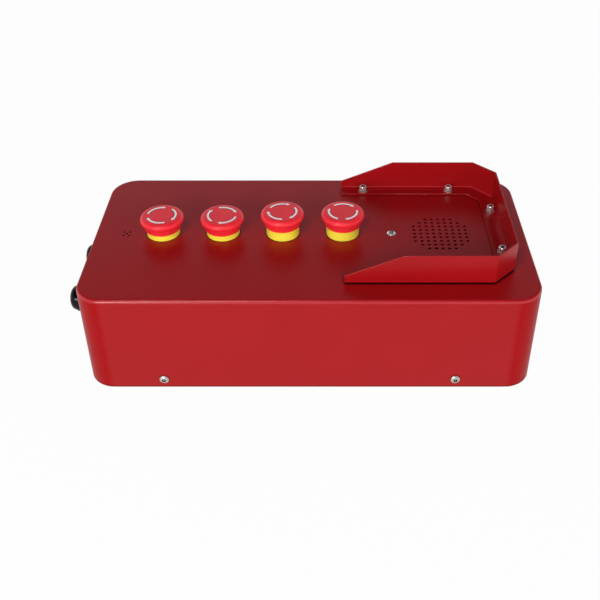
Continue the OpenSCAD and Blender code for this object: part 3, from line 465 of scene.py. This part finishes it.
head_plastic = moulded("head_plastic", (0.88, 0.020, 0.033), 0.32, 0.42)
collar_plastic = moulded("collar_plastic", (0.98, 0.81, 0.065), 0.28, 0.38, spread=0.02)
black_nylon = moulded("black_nylon", (0.0025, 0.0025, 0.003), 0.06, 0.12, spread=0.15)
grey_acetal = moulded("grey_acetal", (0.10, 0.10, 0.11), 0.35, 0.45)
terminal_green = moulded("terminal_green", (0.03, 0.20, 0.06), 0.35, 0.45)
black_nylon.node_tree.nodes["Principled BSDF"].inputs["Specular IOR Level"].default_value = 0.16
for material in (head_plastic, collar_plastic):
    shader = material.node_tree.nodes["Principled BSDF"]
    shader.inputs["Specular IOR Level"].default_value = 0.4
    shader.inputs["Subsurface Weight"].default_value = 0.08
    shader.inputs["Subsurface Radius"].default_value = (0.0012, 0.0006, 0.0004)
    shader.inputs["Subsurface Scale"].default_value = 1.0
print("plastics", head_plastic.name, collar_plastic.name, black_nylon.name)

# %% [markdown]
# ## Steel
# The cover screws are stainless steel, turned and polished, so fine rings and small scuffs break up
# what they mirror. The hood screws and the deck screw are nickel plated, which is paler. The plate, the
# nuts and the strap are zinc plated: duller, faintly blue and yellow, with a soft mottle. All are metals
# in the shader, and only the noises, the colour and the roughness differ.

# %% Steel
bright_steel = new_finish("bright_steel", (0.50, 0.48, 0.44), 0.38, metallic=0.9)
tint(bright_steel, grain(bright_steel, 900), (0.45, 0.43, 0.39), (0.55, 0.53, 0.49))
vary_gloss(bright_steel, grain(bright_steel, 1800), 0.34, 0.46)
relief(bright_steel, grain(bright_steel, 4000, detail=2.0), 0.000004)
# Painted shade darkens the colour inside each screw's socket.
painted_recess_shade(bright_steel, 0.003)

nickel_plate = new_finish("nickel_plate", (0.94, 0.91, 0.88), 0.26, metallic=0.75)
tint(nickel_plate, grain(nickel_plate, 900), (0.88, 0.85, 0.82), (0.99, 0.96, 0.93))
vary_gloss(nickel_plate, grain(nickel_plate, 1800), 0.16, 0.28)
# Painted shade darkens the colour inside each screw's socket.
painted_recess_shade(nickel_plate, 0.003, darkest=0.01)

zinc_plate = new_finish("zinc_plate", (0.55, 0.56, 0.57), 0.42, metallic=1.0)
tint(zinc_plate, grain(zinc_plate, 45, detail=5.0), (0.51, 0.52, 0.54), (0.60, 0.60, 0.575))
vary_gloss(zinc_plate, grain(zinc_plate, 160), 0.34, 0.50)
relief(zinc_plate, grain(zinc_plate, 1200, stretch=(0.12, 1, 1)), 0.000008)

spring_wire = new_finish("spring_wire", (0.50, 0.49, 0.47), 0.25, metallic=1.0)
tint(spring_wire, grain(spring_wire, 700), (0.42, 0.41, 0.40), (0.58, 0.56, 0.53))
vary_gloss(spring_wire, grain(spring_wire, 2200), 0.18, 0.34)
print("metals", bright_steel.name, nickel_plate.name, zinc_plate.name, spring_wire.name)

# %% [markdown]
# ## Rubber, paper, ferrite and board
# What stays inside the case still gets its true finish, since the part can be opened or cut. Rubber is
# dark and dull. The cone is pressed paper with long fibres. Ferrite is a grey ceramic with a fine grit.
# The board is green lacquer over copper tracks, which a grid of raised lines under the colour suggests.

# %% Inner finishes
seal_rubber = new_finish("seal_rubber", (0.02, 0.02, 0.021), 0.75, specular=0.3)
tint(seal_rubber, grain(seal_rubber, 220), (0.014, 0.014, 0.015), (0.028, 0.028, 0.029))
relief(seal_rubber, grain(seal_rubber, 1500), 0.00002)

cone_paper = new_finish("cone_paper", (0.025, 0.025, 0.027), 0.85, specular=0.2)
tint(cone_paper, grain(cone_paper, 900, detail=6.0), (0.012, 0.012, 0.013), (0.045, 0.044, 0.043))
relief(cone_paper, grain(cone_paper, 700, detail=6.0), 0.00005)

ferrite = new_finish("ferrite", (0.06, 0.06, 0.065), 0.6)
tint(ferrite, grain(ferrite, 1300), (0.045, 0.045, 0.05), (0.085, 0.085, 0.09))
relief(ferrite, grain(ferrite, 2000), 0.00002)

lead_jacket = new_finish("lead_jacket", (0.16, 0.16, 0.17), 0.5)
tint(lead_jacket, grain(lead_jacket, 120), (0.14, 0.14, 0.15), (0.18, 0.18, 0.19))
relief(lead_jacket, grain(lead_jacket, 1500), 0.00001)

cap_sleeve = new_finish("cap_sleeve", (0.015, 0.018, 0.09), 0.3)
tint(cap_sleeve, grain(cap_sleeve, 90), (0.012, 0.014, 0.075), (0.018, 0.022, 0.105))
vary_gloss(cap_sleeve, grain(cap_sleeve, 400), 0.24, 0.36)


def lacquered_board():
    material = new_finish("lacquered_board", (0.01, 0.10, 0.035), 0.35)
    tree = material.node_tree
    tracks = tree.nodes.new("ShaderNodeTexBrick")
    tracks.inputs["Color1"].default_value = (0.010, 0.110, 0.040, 1)
    tracks.inputs["Color2"].default_value = (0.013, 0.125, 0.046, 1)
    tracks.inputs["Mortar"].default_value = (0.006, 0.065, 0.024, 1)
    tracks.inputs["Scale"].default_value = 120
    tracks.inputs["Mortar Size"].default_value = 0.06
    tree.links.new(own_space(material), tracks.inputs["Vector"])
    shader = tree.nodes["Principled BSDF"]
    tree.links.new(tracks.outputs["Color"], shader.inputs["Base Color"])
    relief(material, tracks.outputs["Fac"], 0.00003)
    return material


board_lacquer = lacquered_board()
print("inner finishes ready")

# %% [markdown]
# ## Giving each solid its finish
# The solids arrive with plain colours. Each one has a single material slot, so a finish is given by
# putting the new material in that slot. A short table of finish and pieces is easy to read and change.

# %% Finishes on the solids
STOPS = (1, 2, 3, 4)
finishes = {
    shell_coat: ["cover_shell"],
    powder_coat: ["speaker_hood"],
    head_plastic: [f"stop_head_{i}" for i in STOPS],
    collar_plastic: [f"stop_collar_{i}" for i in STOPS],
    black_nylon: [f"stop_bushing_{i}" for i in STOPS] + [f"stop_contact_{i}" for i in STOPS]
    + ["stop_locknuts", "gland_locknuts", "gland_body_1", "gland_body_2", "gland_nut_1", "gland_nut_2"],
    grey_acetal: [f"stop_plunger_{i}" for i in STOPS],
    nickel_plate: ["hood_screws", "strap_screw"],
    bright_steel: ["cover_screws", "contact_screws", "strap_spacers",
                   "board_standoffs", "board_screws"],
    zinc_plate: ["base_plate", "base_nuts", "hood_nuts", "strap_nuts", "speaker_strap", "speaker_frame"],
    seal_rubber: ["stop_gaskets", "speaker_gasket", "mic_boot", "gland_seals", "gland_washers"],
    cone_paper: ["speaker_cone", "mic_capsule"],
    ferrite: ["speaker_magnet"],
    board_lacquer: ["main_board"],
    terminal_green: ["terminal_strip"],
    cap_sleeve: ["board_capacitors"],
    lead_jacket: ["stop_leads", "speaker_lead", "mic_lead"],
    spring_wire: [f"stop_spring_{i}" for i in STOPS],
}
for material, names in finishes.items():
    for name in names:
        parts[name].data.materials.clear()
        parts[name].data.materials.append(material)
print(sum(len(n) for n in finishes.values()), "solids have their finish")

# %% [markdown]
# ## The folded hood
# The hood is one strip of sheet, folded along its foot and bent round at four corners. The solid part
# has sharp corners there, which is enough to place it and to screw it down. A press brake leaves a
# small radius in each fold, and that radius is what catches the light. A bevel could round the outer
# edge but not the inner one, so the strip's section is swept round the plan with both radii drawn as
# short arcs, and then cut to its slope and drilled.

# %% Making a piece
def finished_piece(mesh, name, material, sharp=35):
    """An object from a working mesh, smooth except at edges that turn by more than an angle."""
    bmesh.ops.recalc_face_normals(mesh, faces=mesh.faces)
    for face in mesh.faces:
        face.smooth = True
    for edge in mesh.edges:
        edge.smooth = edge.calc_face_angle(0) < math.radians(sharp)
    data = bpy.data.meshes.new(name)
    mesh.to_mesh(data)
    mesh.free()
    piece = bpy.data.objects.new(name, data)
    bpy.context.scene.collection.objects.link(piece)
    data.materials.append(material)
    return piece


def swept(mesh, rows):
    """Joins rows of points with a closed section into a tube with both ends closed."""
    made = [[mesh.verts.new(p) for p in row] for row in rows]
    for a, b in zip(made, made[1:]):
        for k in range(len(a)):
            n = (k + 1) % len(a)
            mesh.faces.new((a[k], a[n], b[n], b[k]))
    mesh.faces.new(list(reversed(made[0])))
    mesh.faces.new(made[-1])


def arc(x, y, radius, start, end, steps):
    """Points on a round arc between two angles in degrees."""
    turns = [math.radians(start + (end - start) * k / steps) for k in range(steps + 1)]
    return [(x + radius * math.cos(a), y + radius * math.sin(a)) for a in turns]


print("piece helpers ready")

# %% Hood
SHEET, FOLD, FLANGE = 0.0015, 0.0027, 0.015
HOOD_CUT, HOOD_END, HOOD_SLOPE = 0.020, 0.008, 0.0505
CORNER_TURN, CORNER_STEPS, FOLD_STEPS = 45, 4, 5
SAME_POINT = 1e-7
hood_low, hood_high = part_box("speaker_hood")


def hood_plan(inset):
    """The hood's outline from above, moved inwards, from one open end round the corners to the other."""
    x0, y0, x1, y1 = hood_low.x, hood_low.y, hood_high.x, hood_high.y

    def corners(i):
        k = HOOD_CUT + i * math.tan(math.radians(CORNER_TURN / 2))
        return [(x1 - k, y0 + i), (x1 - i, y0 + k), (x1 - i, y1 - k), (x1 - k, y1 - i)]

    points = [(x0, y0 + inset)]
    for n, (middle, point) in enumerate(zip(corners(FOLD), corners(inset))):
        if inset < FOLD:
            turn = CORNER_TURN * n - 90
            points += arc(*middle, FOLD - inset, turn, turn + CORNER_TURN, CORNER_STEPS)
        else:
            points += [point] * (CORNER_STEPS + 1)
    return points + [(x0, y1 - inset)]


height = hood_high.z - hood_low.z
section = [(0, height)] + arc(FOLD, FOLD, FOLD, 180, 270, FOLD_STEPS) + [(FLANGE, 0), (FLANGE, SHEET)]
section += arc(FOLD, FOLD, FOLD - SHEET, 270, 180, FOLD_STEPS) + [(SHEET, height)]
plans = [[Vector((x, y, hood_low.z + z)) for x, y in hood_plan(inset)] for inset, z in section]
mesh = bmesh.new()
swept(mesh, list(zip(*plans)))
bmesh.ops.remove_doubles(mesh, verts=mesh.verts, dist=SAME_POINT)
bmesh.ops.dissolve_degenerate(mesh, edges=mesh.edges, dist=SAME_POINT)
bmesh.ops.bisect_plane(mesh, geom=mesh.verts[:] + mesh.edges[:] + mesh.faces[:], clear_outer=True,
                       plane_co=(hood_low.x, 0, hood_low.z + HOOD_END),
                       plane_no=(HOOD_END - height, 0, HOOD_SLOPE))
bmesh.ops.holes_fill(mesh, edges=[e for e in mesh.edges if e.is_boundary])
hood = finished_piece(mesh, "folded_hood", powder_coat)
print("hood", [round(v, 4) for v in hood.dimensions], len(hood.data.polygons), "faces")

# %% Hood holes and edges
HOOD_HOLES = [(0.0515, -0.0672), (0.1365, -0.0672), (0.1728, -0.0305),
              (0.1728, 0.0385), (0.1365, 0.0752), (0.0515, 0.0752)]
HOLE_RADIUS, HOLE_SIDES, DRILL_ENDS = 0.0022, 24, (-0.001, 0.003)
EDGE_ROUND, EDGE_TURN = 0.00025, 50
mesh = bmesh.new()
for x, y in HOOD_HOLES:
    ring = arc(x, y, HOLE_RADIUS, 0, 360 - 360 / HOLE_SIDES, HOLE_SIDES - 1)
    swept(mesh, [[Vector((px, py, hood_low.z + z)) for px, py in ring] for z in DRILL_ENDS])
drills = finished_piece(mesh, "drills", powder_coat)
drilling = hood.modifiers.new("drilling", "BOOLEAN")
drilling.operation = "DIFFERENCE"
drilling.object = drills
bpy.context.view_layer.update()
depsgraph = bpy.context.evaluated_depsgraph_get()
hood.data = bpy.data.meshes.new_from_object(hood.evaluated_get(depsgraph))
hood.modifiers.clear()
bpy.data.objects.remove(drills)
edges = hood.modifiers.new("edges", "BEVEL")
edges.width = EDGE_ROUND
edges.segments = 2
edges.limit_method = "ANGLE"
edges.angle_limit = math.radians(EDGE_TURN)
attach(hood, "case")
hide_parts("speaker_hood")
print("hood drilled", len(HOOD_HOLES), "holes,", len(hood.data.polygons), "faces")

# %% [markdown]
# ## Return springs
# Under each head a coil of spring steel pushes the plunger up. The solid spring is a chain of short
# straight pieces, so a round wire takes its place. It could be a curve with a bevel, but it is a mesh,
# built where the solid spring stands and left there.
# The end curls are wound close, as on a real compression spring.

# %% Springs
def round_tube(mesh, line, radius, sides):
    """A round tube along a list of points."""
    rows = []
    side = (line[1] - line[0]).orthogonal()
    for k, point in enumerate(line):
        way = (line[min(k + 1, len(line) - 1)] - line[max(k - 1, 0)]).normalized()
        side = (side - side.dot(way) * way).normalized()
        rows.append([point + radius * (math.cos(a) * side + math.sin(a) * way.cross(side))
                     for a in (2 * math.pi * n / sides for n in range(sides))])
    swept(mesh, rows)


WIRE, WIRE_SIDES = 0.0012, 10
CURLS, CURL_STEPS, CLOSE_WOUND = 6, 28, 1.06
for i in STOPS:
    low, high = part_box(f"stop_spring_{i}")
    middle = (low + high) / 2
    coil = (high.x - low.x - WIRE) / 2
    close = CLOSE_WOUND * WIRE
    free = (high.z - low.z - WIRE - 2 * close) / (CURLS - 2)
    line = []
    for k in range(CURLS * CURL_STEPS + 1):
        turn = k / CURL_STEPS
        rise = close * min(turn, 1)
        rise += free * min(max(turn - 1, 0), CURLS - 2)
        rise += close * max(turn - CURLS + 1, 0)
        a = 2 * math.pi * turn
        line.append(Vector((middle.x + coil * math.cos(a), middle.y + coil * math.sin(a),
                            low.z + WIRE / 2 + rise)))
    mesh = bmesh.new()
    round_tube(mesh, line, WIRE / 2, WIRE_SIDES)
    spring = finished_piece(mesh, f"return_spring_{i}", spring_wire, sharp=60)
    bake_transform(spring)
    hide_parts(f"stop_spring_{i}")
print("springs", CURLS, "curls, free pitch", round(free, 5))

# %% [markdown]
# ## Leads inside the case
# Grey jacketed leads run from the stop contacts, the loudspeaker and the microphone to the terminal
# strip. They could be Blender curves, but a mesh swept along a smooth line through a few listed
# points travels better to other programs. Each line starts straight out of its contact, sags, and
# enters the strip straight.

# %% Lead helpers
LEAD_STEPS, LEAD_SIDES, MILLIMETRES = 9, 14, 1000


def smooth_line(points, steps):
    """A smooth line through points, with a number of steps between each two."""
    line = []
    for k in range(len(points) - 1):
        a, b, c, d = (points[min(max(n, 0), len(points) - 1)] for n in (k - 1, k, k + 1, k + 2))
        for s in range(steps):
            t = s / steps
            line.append(0.5 * (2 * b + t * (c - a) + t * t * (2 * a - 5 * b + 4 * c - d)
                               + t * t * t * (3 * b - a - 3 * c + d)))
    return line + [points[-1]]


def lead(mesh, start, start_steps, end, end_steps, width):
    """A lead between two places, through steps in millimetres from each of them."""
    points = [Vector(start) + Vector(p) / MILLIMETRES for p in start_steps]
    points += [Vector(end) + Vector(p) / MILLIMETRES for p in end_steps]
    round_tube(mesh, smooth_line(points, LEAD_STEPS), width / 2, LEAD_SIDES)


print("lead helpers ready")

# %% Leads
LEAD_GAP, STRIP_ENTRY = 0.0003, 0.0055
STOP_LEAD, SIGNAL_LEAD = 0.004, 0.003
SPEAKER_TAG = (0.09824, -0.02156, 0.0932)
strip_low, strip_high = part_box("terminal_strip")
strip_y, entry_z = (strip_low.y + strip_high.y) / 2, strip_low.z + STRIP_ENTRY
stop_mesh, speaker_mesh, mic_mesh = bmesh.new(), bmesh.new(), bmesh.new()
for i in STOPS:
    low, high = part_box(f"stop_contact_{i}")
    x, y = (low.x + high.x) / 2, (low.y + high.y) / 2
    lead(stop_mesh, (x, y, low.z - LEAD_GAP), [(0, 0, 0), (0, 0, -8), (0, -6, -15)],
         (x, strip_high.y + LEAD_GAP, entry_z), [(0, 22, 2), (0, 11, 0), (0, 0, 0)], STOP_LEAD)
lead(speaker_mesh, SPEAKER_TAG,
     [(0, 0, 0), (0, 0, -9), (-2, -1, -20), (-9, -4, -34), (-19, -8, -47)],
     (strip_high.x + LEAD_GAP, strip_y, entry_z),
     [(29, 7, 13), (19, 3, 5), (10, 0, 1), (0, 0, 0)], SIGNAL_LEAD)
low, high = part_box("mic_capsule")
lead(mic_mesh, ((low.x + high.x) / 2, (low.y + high.y) / 2, low.z - LEAD_GAP),
     [(0, 0, 0), (0, 0, -8), (1, -4, -20), (3, -14, -32)],
     (strip_low.x - LEAD_GAP, strip_y, entry_z),
     [(-27, 22, 19), (-19, 8, 6), (-10, 0, 0), (0, 0, 0)], SIGNAL_LEAD)
for mesh, name, node in ((stop_mesh, "stop_wiring", "stop_leads"),
                         (speaker_mesh, "speaker_wiring", "speaker_lead"),
                         (mic_mesh, "mic_wiring", "mic_lead")):
    wiring = finished_piece(mesh, name, lead_jacket, sharp=60)
    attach(wiring, "case")
    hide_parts(node)
print("leads to the strip at", round(strip_y, 4), round(entry_z, 4))

# %% [markdown]
# ## Arrows on the heads
# Three arrows in a ring on each head show which way to twist it. They look like white paint, with a fine
# shaded groove on their inner side. A picture could paint them on, but a thin raised band stays sharp
# from any angle. A band is swept round the ring, and its width swells at the clockwise end to make the
# tip. The groove itself is not cut: its shade is painted as a thin dark band beside each arrow.

# %% Arrow bands
RING_RADIUS = 0.0129
ARROW_LIFT, ARROW_SINK = 0.00012, 0.0003
ARROW_HALF, TIP_HALF, TIP_LENGTH = 0.00095, 0.0018, 0.0030
BAND_STEPS, TIP_STEPS = 20, 5
TIP_BLUNT, NECK_TURN = 5.2, 0.2


def ring_band(mesh, centre, stations, low, high):
    """A closed band round a ring: stations are (angle in degrees, inner radius, outer radius)."""
    rows = []
    for angle, inner, outer in stations:
        a = math.radians(angle)
        way = Vector((math.cos(a), math.sin(a), 0))
        rows.append([centre + radius * way + Vector((0, 0, z))
                     for radius, z in ((inner, low), (outer, low), (outer, high), (inner, high))])
    swept(mesh, rows)


def arrow_stations(start, end):
    """Angles and radii of one arrow that runs clockwise from start to end, in degrees."""
    neck = end + math.degrees(TIP_LENGTH / RING_RADIUS)
    stations = [(start + (neck - start) * k / BAND_STEPS,
                 RING_RADIUS - ARROW_HALF, RING_RADIUS + ARROW_HALF) for k in range(BAND_STEPS + 1)]
    for k in range(TIP_STEPS + 1):
        half = TIP_HALF * (1 - k / TIP_BLUNT)
        stations.append((neck + NECK_TURN + (end - neck) * k / TIP_STEPS,
                         RING_RADIUS - half, RING_RADIUS + half))
    return stations


print("arrow ring radius", RING_RADIUS)

# %% Arrows
arrow_paint = new_finish("arrow_paint", (0.98, 0.91, 0.88), 0.45)
tint(arrow_paint, grain(arrow_paint, 900), (0.96, 0.88, 0.85), (1.0, 0.94, 0.91))
# A dark red for the painted shade beside the arrows.
groove_shade = new_finish("groove_shade", (0.10, 0.008, 0.010), 0.7)
tint(groove_shade, grain(groove_shade, 900), (0.07, 0.006, 0.008), (0.13, 0.010, 0.012))

GAP_PHASE = {1: 65.5, 2: 2.5, 3: 45.4, 4: 23.2}
GAP, ARROWS, SHADE_BAND_STEPS = 30.0, 3, 24
SHADE_BAND_WIDTH, SHADE_BAND_LIFT = 0.00065, 0.3
for i in STOPS:
    low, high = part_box(f"stop_head_{i}")
    centre = Vector(((low.x + high.x) / 2, (low.y + high.y) / 2, high.z))
    arrows, arrow_shade_bands = bmesh.new(), bmesh.new()
    for k in range(ARROWS):
        gap = GAP_PHASE[i] + 360 / ARROWS * k
        start, end = gap - GAP / 2, gap - 360 / ARROWS + GAP / 2
        ring_band(arrows, centre, arrow_stations(start, end), -ARROW_SINK, ARROW_LIFT)
        # A thin dark band along the inner side of each arrow is painted shade, where a groove would be
        # shaded.
        outer = RING_RADIUS - ARROW_HALF
        shade_band = [(start + (end - start) * s / SHADE_BAND_STEPS, outer - SHADE_BAND_WIDTH, outer)
                  for s in range(SHADE_BAND_STEPS + 1)]
        ring_band(arrow_shade_bands, centre, shade_band, -ARROW_SINK, ARROW_LIFT * SHADE_BAND_LIFT)
    for mesh, name, material in ((arrows, f"head_arrows_{i}", arrow_paint),
                                 (arrow_shade_bands, f"head_arrow_shade_{i}", groove_shade)):
        piece = finished_piece(mesh, name, material)
        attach(piece, f"head_{i}")
print("arrows on", len(STOPS), "heads")

# %% [markdown]
# ## Sizes
# A dressed model should be no larger than its solids. The box of everything that is shown is printed.

# %% Sizes and finish
low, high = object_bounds()
print("visual box", [round(v, 4) for v in low], [round(v, 4) for v in high])
